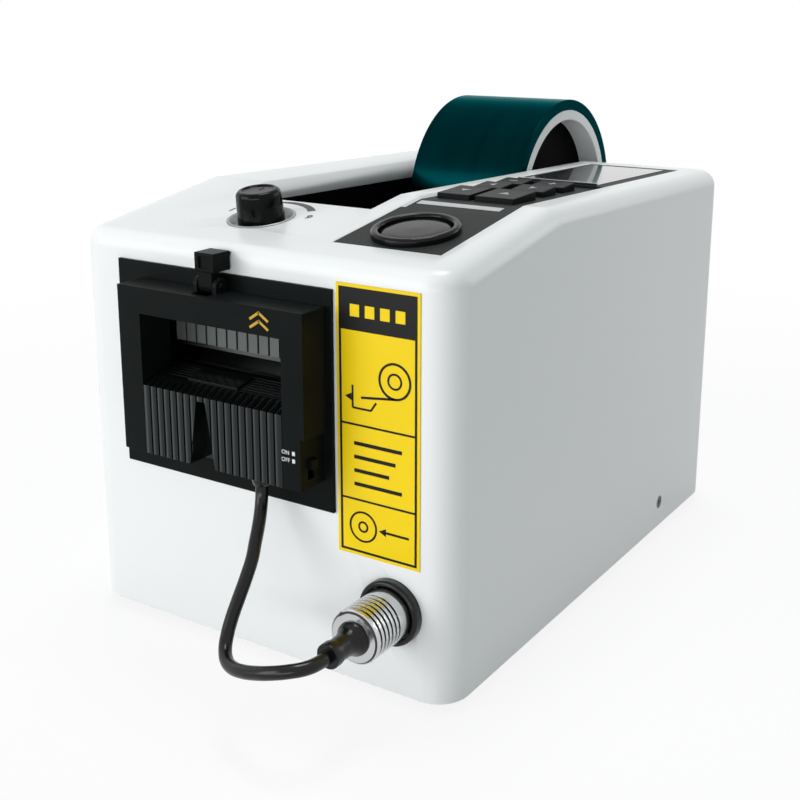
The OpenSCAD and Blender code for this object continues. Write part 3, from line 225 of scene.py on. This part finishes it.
def window_glass():
    """Tinted glossy cover, slightly uneven in tone."""
    mat, nodes, links, bsdf = shader("window_glass")
    bsdf.inputs["Coat Weight"].default_value = 0.8
    bsdf.inputs["Coat Roughness"].default_value = 0.04
    bsdf.inputs["Roughness"].default_value = 0.2
    drift = noise(nodes, links, 30, 2.0)
    tint = ramp(nodes, links, drift, (0.3, (0.02, 0.024, 0.026)), (0.7, (0.035, 0.04, 0.043)))
    links.new(tint, bsdf.inputs["Base Color"])
    return mat


def film():
    """Glossy wound film: fine turns along the edge, faint bands across the face."""
    mat, nodes, links, bsdf = shader("film")
    bsdf.inputs["Metallic"].default_value = 1.0
    bsdf.inputs["Specular Tint"].default_value = (0.3, 0.6, 0.62, 1)
    bands = noise(nodes, links, 40, 2.0, (3, 0.4, 0.4))
    teal = ramp(nodes, links, bands, (0.3, (0.0, 0.0145, 0.017)), (0.7, (0.0, 0.0175, 0.02)))
    links.new(teal, bsdf.inputs["Base Color"])
    links.new(ramp(nodes, links, bands, (0.3, 0.24), (0.7, 0.28)), bsdf.inputs["Roughness"])
    fine = noise(nodes, links, 900, 2.0, (1, 0.05, 0.05))
    add_bump(nodes, links, bsdf, fine, 0.02, GRAIN_DEPTH)
    return mat


def ribbed_table(start, pitch, rear):
    """Semi-gloss black whose ribs are slightly rounded across."""
    mat, nodes, links, bsdf = shader("table_black")
    bsdf.inputs["Specular IOR Level"].default_value = 0.32
    bsdf.inputs["Specular Tint"].default_value = (0.86, 1, 1, 1)
    drift = noise(nodes, links, 45, 4.0)
    black = ramp(nodes, links, drift, (0.3, (0.0036, 0.0044, 0.0044)), (0.7, (0.0052, 0.0062, 0.0062)))
    links.new(black, bsdf.inputs["Base Color"])
    links.new(ramp(nodes, links, drift, (0.3, 0.16), (0.7, 0.2)), bsdf.inputs["Roughness"])
    coord = nodes.new("ShaderNodeTexCoord")
    parts = nodes.new("ShaderNodeSeparateXYZ")
    links.new(coord.outputs["Object"], parts.inputs[0])
    offset = maths(nodes, links, "SUBTRACT", parts.outputs["X"], start)
    across = maths(nodes, links, "FRACT", maths(nodes, links, "DIVIDE", offset, pitch))
    arch = maths(nodes, links, "SINE", maths(nodes, links, "MULTIPLY", across, math.pi))
    on_ribs = maths(nodes, links, "LESS_THAN", parts.outputs["Y"], rear)
    add_bump(nodes, links, bsdf, maths(nodes, links, "MULTIPLY", arch, on_ribs), 1.0, RIB_ROUND)
    return mat


def ringed_chrome(centre):
    """Bright plating, painted dark as shade in the grooves turned around its axis, which runs from front to
    rear.
    """
    mat, nodes, links, bsdf = shader("chrome")
    bsdf.inputs["Metallic"].default_value = 1.0
    coord = nodes.new("ShaderNodeTexCoord")
    mapping = nodes.new("ShaderNodeMapping")
    mapping.vector_type = "TEXTURE"
    mapping.inputs["Location"].default_value = centre
    mapping.inputs["Rotation"].default_value = (math.pi / 2, 0, 0)
    flat = nodes.new("ShaderNodeVectorMath")
    flat.operation = "MULTIPLY"
    flat.inputs[1].default_value = (1, 1, 0)
    reach = nodes.new("ShaderNodeVectorMath")
    reach.operation = "LENGTH"
    links.new(coord.outputs["Object"], mapping.inputs["Vector"])
    links.new(mapping.outputs["Vector"], flat.inputs[0])
    links.new(flat.outputs["Vector"], reach.inputs[0])
    outside = maths(nodes, links, "GREATER_THAN", reach.outputs["Value"], GROOVE_SHADE_R[0])
    inside = maths(nodes, links, "LESS_THAN", reach.outputs["Value"], GROOVE_SHADE_R[1])
    groove_shade = maths(nodes, links, "MULTIPLY", outside, inside)
    # Painted shade: near black within the groove radii, bright plating elsewhere
    plating_and_groove_shade = ramp(nodes, links, groove_shade, (0.0, (0.56, 0.57, 0.575)), (1.0, (0.06, 0.062, 0.065)))
    links.new(plating_and_groove_shade, bsdf.inputs["Base Color"])
    drift = noise(nodes, links, 300, 3.0)
    links.new(ramp(nodes, links, drift, (0.3, 0.12), (0.7, 0.2)), bsdf.inputs["Roughness"])
    return mat


window_mat = window_glass()
film_mat = film()
chrome = ringed_chrome(at(SOCKET_X, 0, SOCKET_Z))
table_black = ribbed_table(RIB_START * MM, RIB_PITCH * MM, at(0, RIB_REAR_Y, 0).y)

# What each CAD node is made of
KEY_NAMES = ["key_%d" % i for i in range(1, KEY_COUNT + 1)]
DRESS = {
    white_case: ["case_shell"],
    base_grey: ["base_plate"],
    black_satin: ["cutter_housing", "latch_lever", "slide_switch", "dc_inlet", "rocker_bezel",
                  "socket_insert", "button_switch", "latch_pin"],
    knob_black: ["selector_knob"],
    bay_black: ["bay_tray", "tape_hub", "guide_roller"],
    table_black: ["exit_table"],
    panel_grey: ["control_panel"],
    key_black: KEY_NAMES,
    gloss_black: ["sensor_window", "round_button", "button_ring", "power_rocker", "display_module"],
    rubber_black: ["feet", "cable_gland", "cable", "plug_boot", "socket_bezel"],
    rubber_grey: ["feed_roller", "pinch_roller"],
    blade_steel: ["fixed_blade", "blade_carrier", "moving_blade", "side_screws"],
    steel: ["base_screws", "hub_axle", "guide_shaft", "feed_shaft", "pinch_shaft", "motor_bracket",
            "feed_motor", "cutter_bracket", "cutter_motor", "selector_pot"],
    chrome: ["plug_shell"],
    brass: ["motor_pinion", "crank"],
    gear_ivory: ["feed_gear"],
    board_green: ["control_board"],
    core_card: ["tape_core"],
    dial_metal: ["dial_plate"],
    comb_grey: ["presser_comb"],
    yellow_sheet: ["front_decal"],
    window_mat: ["display_window"],
    film_mat: ["tape_winding"],
}
for material, names in DRESS.items():
    for name in names:
        NODES[name].data.materials.clear()
        NODES[name].data.materials.append(material)

# Rounding of each CAD node's sharp edges, in millimetres
SOFT_EDGE = {
    "cutter_housing": 0.35, "exit_table": 0.28, "latch_lever": 0.6, "slide_switch": 0.2,
    "control_panel": 0.2, "display_window": 0.15, "selector_knob": 0.3, "dial_plate": 0.2,
    "round_button": 0.25, "button_ring": 0.25, "plug_shell": 0.2, "plug_boot": 0.3, "tape_core": 0.25,
    "tape_winding": 0.3, "tape_hub": 0.4, "bay_tray": 0.3, "guide_roller": 0.3, "rocker_bezel": 0.3,
    "power_rocker": 0.3, "dc_inlet": 0.25, "feet": 0.3, "presser_comb": 0.12, "sensor_window": 0.2,
    "hub_axle": 0.3, "feed_roller": 0.3, "pinch_roller": 0.3, "base_plate": 0.2,
    **{name: 0.5 for name in KEY_NAMES},
}
SHARP_ANGLE = math.radians(40)
WELD_REACH = 2e-6
FLAT_WEIGHT = 60
for name, node in NODES.items():
    for polygon in node.data.polygons:
        polygon.use_smooth = True
    weld = node.modifiers.new("weld", "WELD")
    weld.merge_threshold = WELD_REACH
    if name in SOFT_EDGE:
        bevel = node.modifiers.new("soft_edge", "BEVEL")
        bevel.width = SOFT_EDGE[name] * MM
        bevel.segments = 2
        bevel.limit_method = "ANGLE"
        bevel.angle_limit = SHARP_ANGLE
        bevel.harden_normals = False
    even = node.modifiers.new("even", "WEIGHTED_NORMAL")
    even.keep_sharp = True
    even.weight = FLAT_WEIGHT


# Cord, from the plug's boot to the gland under the cutter unit
CABLE_ROUTE = [
    (52.5, -32.5, 27), (52.5, -35.5, 27), (51.3, -40.3, 27), (47.8, -43.9, 26.6),
    (43.1, -45.4, 25.4), (37.7, -45.4, 23.7), (32.3, -44.6, 22.1), (27.4, -43, 20.9),
    (23.2, -40.7, 20.7), (20.1, -37.8, 21.9), (18.4, -34.8, 24.7), (17.6, -31.6, 28.6),
    (17.2, -27.8, 33.2), (16.8, -24, 37.7), (16.1, -20, 42.5), (14.7, -16.9, 45.6),
    (13.25, -13.7, 48.7), (11.8, -10.57, 52.63), (11.04, -9.18, 54.7), (10.56, -8.3, 57.11),
    (10.4, -8, 59.7), (10.4, -8, 60.5),
]
CABLE_R = 2.0
curve = bpy.data.curves.new("cutter_lead", "CURVE")
curve.dimensions = "3D"
curve.bevel_depth = CABLE_R * MM
curve.bevel_resolution = 5
curve.resolution_u = 8
curve.use_fill_caps = True
spline = curve.splines.new("BEZIER")
spline.bezier_points.add(len(CABLE_ROUTE) - 1)
for knot, point in zip(spline.bezier_points, CABLE_ROUTE):
    knot.co = at(*point)
    knot.handle_left_type = knot.handle_right_type = "AUTO"
lead = link(bpy.data.objects.new("cutter_lead", curve))
curve.materials.append(rubber_black)
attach(lead, "case")
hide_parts("cable")


# Tools for the pieces
PRINT_T = 0.12
WORD_T, WORD_LIFT = 0.05, 0.06


def seated(name, mesh, material, body):
    """An object of a mesh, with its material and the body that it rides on."""
    mesh.materials.clear()
    mesh.materials.append(material)
    obj = link(bpy.data.objects.new(name, mesh))
    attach(obj, body)
    return obj


def piece(name, bm, material, body, smooth=False):
    mesh = bpy.data.meshes.new(name)
    bmesh.ops.recalc_face_normals(bm, faces=bm.faces)
    bm.to_mesh(mesh)
    bm.free()
    if smooth:
        for polygon in mesh.polygons:
            polygon.use_smooth = True
    return seated(name, mesh, material, body)


def stacked(bm, rings):
    """Closed skin over rings of points, from the lowest to the highest."""
    rings = [[bm.verts.new(point) for point in ring] for ring in rings]
    bm.faces.new(rings[0][::-1])
    bm.faces.new(rings[-1])
    for low, high in zip(rings, rings[1:]):
        for i in range(len(low)):
            j = (i + 1) % len(low)
            bm.faces.new((low[i], low[j], high[j], high[i]))


def marks(name, outlines, matrix, material, body, low=0.0, high=PRINT_T):
    """Drawn outlines, each made solid between two heights above a plane."""
    bm = bmesh.new()
    for outline in outlines:
        stacked(bm, [[matrix @ Vector((x, y, h)) for x, y in outline] for h in (low, high)])
    return piece(name, bm, material, body)


def word(name, letters, matrix, height, material, body):
    """Flat lettering in the built-in face, as a thin mesh."""
    text = bpy.data.curves.new(name + "_outline", "FONT")
    text.body = letters
    text.size = height
    text.extrude = WORD_T
    text.align_x = "LEFT"
    holder = link(bpy.data.objects.new(name + "_outline", text))
    bpy.context.view_layer.update()
    evaluated = holder.evaluated_get(bpy.context.evaluated_depsgraph_get())
    mesh = bpy.data.meshes.new_from_object(evaluated)
    bpy.data.objects.remove(holder)
    mesh.transform(lifted(matrix, z=WORD_LIFT))
    mesh.name = name
    return seated(name, mesh, material, body)


def rect(x0, x1, y0, y1):
    return [(x0, y0), (x1, y0), (x1, y1), (x0, y1)]


def bar(x0, y0, x1, y1, w):
    """A straight stroke of width w."""
    d = Vector((x1 - x0, y1 - y0)).normalized() * w / 2
    return [(x0 - d.y, y0 + d.x), (x0 + d.y, y0 - d.x), (x1 + d.y, y1 - d.x), (x1 - d.y, y1 + d.x)]


def arc(r, a0, a1, steps):
    angles = [math.radians(a0 + (a1 - a0) * i / steps) for i in range(steps + 1)]
    return [(r * math.cos(a), r * math.sin(a)) for a in angles]


def ring_strokes(cx, cy, r, w):
    """A drawn circle of line width w, in four quarters."""
    quarters = []
    for a in (0, 90, 180, 270):
        band = arc(r + w / 2, a, a + 90, 10) + arc(r - w / 2, a, a + 90, 10)[::-1]
        quarters.append([(x + cx, y + cy) for x, y in band])
    return quarters


# Front sheet: border, header band and a plain diagram of how the tape runs, with no words
SHEET_X0, SHEET_X1, SHEET_Z0, SHEET_Z1 = 33.4, 62.1, 41.9, 124.5
EDGE, INSET = 1, 1.7
HEADER_H = 13.5
sheet_w, sheet_h = SHEET_X1 - SHEET_X0, SHEET_Z1 - SHEET_Z0
left, right = INSET, sheet_w - INSET
sheet_plane = front_plane(SHEET_X0, -DECAL_T, SHEET_Z0)
border = [
    rect(EDGE, sheet_w - EDGE, EDGE, INSET),
    rect(EDGE, sheet_w - EDGE, sheet_h - INSET, sheet_h - EDGE),
    rect(EDGE, INSET, INSET, sheet_h - INSET),
    rect(sheet_w - INSET, sheet_w - EDGE, INSET, sheet_h - INSET),
    rect(left, right, sheet_h - HEADER_H, sheet_h - INSET),
]
roll = ring_strokes(20.2, 56, 5.2, 0.7) + ring_strokes(20.2, 56, 2.2, 0.6)
tape_run = [
    bar(20.2, 50.8, 8.6, 49.4, 0.7), bar(5.6, 46, 5.6, 52.8, 0.6), bar(5.6, 46, 12, 46, 0.6),
    bar(12, 46, 13.8, 48.6, 0.6), [(3, 49.2), (5.2, 48.1), (5.2, 50.3)],
]
dividers = [rect(left, right, 40.6, 41.2), rect(left, right, 17.4, 18)]
bars = [bar(6, 35.2 - 4.2 * i, 22.6 - 2.2 * (i % 3), 35.2 - 4.2 * i, 1.1) for i in range(4)]
plug = ring_strokes(9, 9.4, 4.6, 0.6) + ring_strokes(9, 9.4, 1.5, 0.6)
arrow = [bar(25, 9.4, 16.6, 9.4, 0.7), [(14.6, 9.4), (17, 8.2), (17, 10.6)]]
marks("sheet_marks", border + roll + tape_run + dividers + bars + plug + arrow, sheet_plane, black_print,
      "case")
squares = [rect(5 + 5.2 * i, 8.2 + 5.2 * i, sheet_h - 9.4, sheet_h - 5.8) for i in range(4)]
marks("sheet_header", squares, sheet_plane, yellow_sheet, "case", PRINT_T, 0.18)

# Cutter unit: gold mark on the top bar, switch words on the right column
chevrons = []
for low in (0.6, 3.1):
    chevrons += [bar(0.4, low, 4.0, low + 2.4, 0.8), bar(3.6, low + 2.4, 7.2, low, 0.8)]
marks("exit_mark", chevrons, front_plane(11.5, UNIT_FACE_Y, 110.1), gold_print, "case")
ON_Z, OFF_Z, SWITCH_TEXT = 74.4, 72.1, 1.8
word("switch_on", "ON", front_plane(22.5, UNIT_FACE_Y, ON_Z), SWITCH_TEXT, white_print, "case")
word("switch_off", "OFF", front_plane(22.4, UNIT_FACE_Y, OFF_Z), SWITCH_TEXT, white_print, "case")
marks("switch_squares", [rect(0, 1.0, 0, 1.2), rect(0, 1.0, -2.3, -1.1)],
      front_plane(26.4, UNIT_FACE_Y, ON_Z), white_print, "case")

# Knob: radius, height and depth of the flats at each ring, from the foot to the cap
KNOB_PROFILE = [
    (7.75, -1.7, 0.0), (7.75, -0.6, 0.0), (7.7, 0.0, 0.05), (7.5, 4.0, 0.09), (7.32, 7.8, 0.12),
    (7.22, 8.35, 0.12), (7.0, 8.85, 0.1), (6.6, 9.25, 0.06), (6.1, 9.45, 0.0), (5.75, 9.5, 0.0),
    (5.4, 9.46, 0.0), (5.25, 9.3, 0.0), (5.15, 9.1, 0.0), (4.95, 9.02, 0.0), (4.6, 9.0, 0.0),
]
KNOB_STEPS, KNOB_FLATS = 144, 12
POINTER_LOW, POINTER_HIGH = 8.9, 9.08
dial_plane = slope_plane(KNOB_X, KNOB_V)


def knob_ring(radius, height, cut):
    ring = []
    for i in range(KNOB_STEPS):
        a = 2 * math.pi * i / KNOB_STEPS
        r = radius - cut * (0.5 + 0.5 * math.cos(KNOB_FLATS * a))
        ring.append(dial_plane @ Vector((r * math.cos(a), r * math.sin(a), height)))
    return ring


knob_mesh = bmesh.new()
stacked(knob_mesh, [knob_ring(*row) for row in KNOB_PROFILE])
knob_grip = piece("knob_grip", knob_mesh, knob_black, "knob", smooth=True)
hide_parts("selector_knob")
marks("knob_pointer", [rect(-0.3, 0.3, 0.6, 3.2)], dial_plane, panel_grey, "knob",
      POINTER_LOW, POINTER_HIGH)

# Dial prints around the knob
WEDGE_STEPS, WEDGE_START, WEDGE_STEP = 25, 138, 4
DIAL_R, DIAL_TEXT = 16.2, 4.6
DIAL_SHIFT_X, DIAL_SHIFT_Y = -1.2, -1.6


def wedge_side(radius, growth):
    """One side of the wedge, whose radius grows a little at each step."""
    side = []
    for i in range(WEDGE_STEPS):
        a = math.radians(WEDGE_START - WEDGE_STEP * i)
        side.append(((radius + growth * i) * math.cos(a), (radius + growth * i) * math.sin(a)))
    return side


wedge = wedge_side(16.9, 0.035) + wedge_side(16.5, -0.06)[::-1]
marks("dial_wedge", [wedge], dial_plane, grey_print, "case", 0.0, 0.1)
for number, angle in (("1", 165), ("9", 19)):
    a = math.radians(angle)
    place = lifted(dial_plane, DIAL_R * math.cos(a) + DIAL_SHIFT_X, DIAL_R * math.sin(a) + DIAL_SHIFT_Y)
    word("dial_" + number, number, place, DIAL_TEXT, grey_print, "case")

# Panel strip, a pale line painted as the highlight on the display's front edge, and key marks
PANEL_SINK, RIDGE_LIFT = -1.1, 0.6
marks("panel_strip", [rect(22.4, 53.2, 60.2, 63.6)], lifted(slope_plane(0, 0), z=PANEL_SINK), pale_strip,
      "case")
# Painted highlight: a pale strip along the display's front edge, where the step there catches the light
marks("painted_window_highlight", [rect(24.9, 55.3, 63.45, 64.55)], lifted(rear_plane(0, 0), z=RIDGE_LIFT), pale_strip,
      "case")
KEY_COLUMNS = ((23.5, 36.0), (37.8, 52.3))
KEY_FRONT, KEY_REAR = 0.7, 1.7
KEYS = [(0, 6.0, 16.0), (1, 6.0, 16.0), (0, 28.5, 10.0), (1, 28.5, 10.0), (0, 43.5, 10.0), (1, 43.5, 10.0)]
MINUS = rect(-1.5, 1.5, -0.3, 0.3)
ICONS = [
    [[(-1.9, 1.2), (0, -1.6), (1.9, 1.2)]],
    [[(-1.9, -1.2), (1.9, -1.2), (0, 1.6)]],
    [[(-1.6, 0), (0.9, -1.5), (0.9, 1.5)]],
    [[(1.6, 0), (-0.9, 1.5), (-0.9, -1.5)]],
    [MINUS],
    [MINUS, rect(-0.3, 0.3, 0.3, 1.5), rect(-0.3, 0.3, -1.5, -0.3)],
]
for index, ((column, v, length), icon) in enumerate(zip(KEYS, ICONS), 1):
    key_plane = rear_plane(sum(KEY_COLUMNS[column]) / 2, v + length / 2)
    key_plane = lifted(key_plane, z=(KEY_FRONT + KEY_REAR) / 2)
    key_plane @= Matrix.Rotation(math.atan((KEY_REAR - KEY_FRONT) / length), 4, "X")
    marks("key_mark_%d" % index, icon, key_plane, key_print, "key_%d_cap" % index)

# Rear switch marks, on the two halves of the rocker's face
ROCKER_PIVOT, ROCKER_TIP = (45, 208, 70), math.radians(10)
ROCKER_DIP, ROCKER_HALF, ROCKER_FACE = 1.2, 8.5, 8.584
FACE_Y, FACE_Z = 5.8, 4.25
rocker = Matrix.Translation(at(*ROCKER_PIVOT)) @ Matrix.Rotation(ROCKER_TIP, 4, "X") @ Matrix.Scale(MM, 4)
run, rise = ROCKER_DIP / ROCKER_FACE, ROCKER_HALF / ROCKER_FACE
upper = rocker @ Matrix(((-1, 0, 0, 0), (0, run, rise, FACE_Y), (0, rise, -run, FACE_Z), (0, 0, 0, 1)))
lower = rocker @ Matrix(((-1, 0, 0, 0), (0, -run, rise, FACE_Y), (0, rise, run, -FACE_Z), (0, 0, 0, 1)))
marks("rocker_on", [rect(-0.35, 0.35, -1.7, 1.7)], upper, white_print, "rocker")
marks("rocker_off", ring_strokes(0, 0, 1.6, 0.6), lower, white_print, "rocker")


# Floor, background and light
FLOOR_HALF = 3.0
FADE_NEAR, FADE_FAR = (0.2, 0.86), (0.55, 1.0)


def seen_directly(nodes, links):
    """One for camera, glossy and transmission rays, otherwise nought."""
    path = nodes.new("ShaderNodeLightPath")
    total = path.outputs["Is Camera Ray"]
    for ray in ("Is Glossy Ray", "Is Transmission Ray"):
        total = maths(nodes, links, "MAXIMUM", total, path.outputs[ray])
    return total


def floor_white():
    """White floor that takes a soft shadow near the object and fades into the background."""
    mat, nodes, links, bsdf = shader("floor")
    bsdf.inputs["Roughness"].default_value = 0.9
    bsdf.inputs["Specular IOR Level"].default_value = 0.0
    direct = seen_directly(nodes, links)
    links.new(ramp(nodes, links, direct, (0.0, 0.66), (1.0, 0.98)), bsdf.inputs["Base Color"])
    coord = nodes.new("ShaderNodeTexCoord")
    reach = nodes.new("ShaderNodeVectorMath")
    reach.operation = "LENGTH"
    fade = nodes.new("ShaderNodeMapRange")
    fade.inputs["From Min"].default_value, fade.inputs["To Min"].default_value = FADE_NEAR
    fade.inputs["From Max"].default_value, fade.inputs["To Max"].default_value = FADE_FAR
    links.new(coord.outputs["Object"], reach.inputs[0])
    links.new(reach.outputs["Value"], fade.inputs["Value"])
    glow = nodes.new("ShaderNodeEmission")
    blend = nodes.new("ShaderNodeMixShader")
    links.new(maths(nodes, links, "MULTIPLY", fade.outputs["Result"], direct), blend.inputs["Fac"])
    links.new(bsdf.outputs[0], blend.inputs[1])
    links.new(glow.outputs[0], blend.inputs[2])
    links.new(blend.outputs[0], nodes["Material Output"].inputs["Surface"])
    return mat


def studio_world():
    """White where it is seen, dimmer and cooler as a light."""
    world = bpy.data.worlds.new("studio")
    world.use_nodes = True
    nodes, links = world.node_tree.nodes, world.node_tree.links
    nodes.clear()
    out = nodes.new("ShaderNodeOutputWorld")
    seen = nodes.new("ShaderNodeBackground")
    seen.inputs["Color"].default_value = (1, 1, 1, 1)
    lit = nodes.new("ShaderNodeBackground")
    lit.inputs["Color"].default_value = (0.88, 0.98, 1, 1)
    lit.inputs["Strength"].default_value = 0.3
    mix = nodes.new("ShaderNodeMixShader")
    links.new(seen_directly(nodes, links), mix.inputs["Fac"])
    links.new(lit.outputs[0], mix.inputs[1])
    links.new(seen.outputs[0], mix.inputs[2])
    links.new(mix.outputs[0], out.inputs["Surface"])
    return world


def lamp(name, location, target, size, power):
    """A rectangular lamp that faces a point of the object."""
    data = bpy.data.lights.new(name, "AREA")
    data.shape = "RECTANGLE"
    data.size, data.size_y = size
    data.energy = power
    obj = link(bpy.data.objects.new(name, data))
    obj.location = location
    obj.rotation_euler = (Vector(target) - Vector(location)).to_track_quat("-Z", "Y").to_euler()


floor_mesh = bmesh.new()
bmesh.ops.create_grid(floor_mesh, x_segments=1, y_segments=1, size=FLOOR_HALF)
floor_data = bpy.data.meshes.new("floor")
floor_mesh.to_mesh(floor_data)
floor_mesh.free()
floor_data.materials.append(floor_white())
floor = link(bpy.data.objects.new("floor", floor_data))
SCENE.world = studio_world()
lamp("key", (-0.85, -1.4, 0.5), (0, 0, 0.07), (1.0, 1.0), 12.6)
lamp("top", (-0.1, 0.2, 1.5), (0, 0, 0.1), (0.5, 0.5), 9.5)
lamp("side", (0.55, 0.7, 0.38), (0.05, 0.08, 0.08), (0.3, 0.45), 0.85)
lamp("fill", (0.25, -1.5, 0.14), (0, 0, 0.04), (1.2, 0.25), 6)
SCENE.view_settings.view_transform = "Standard"
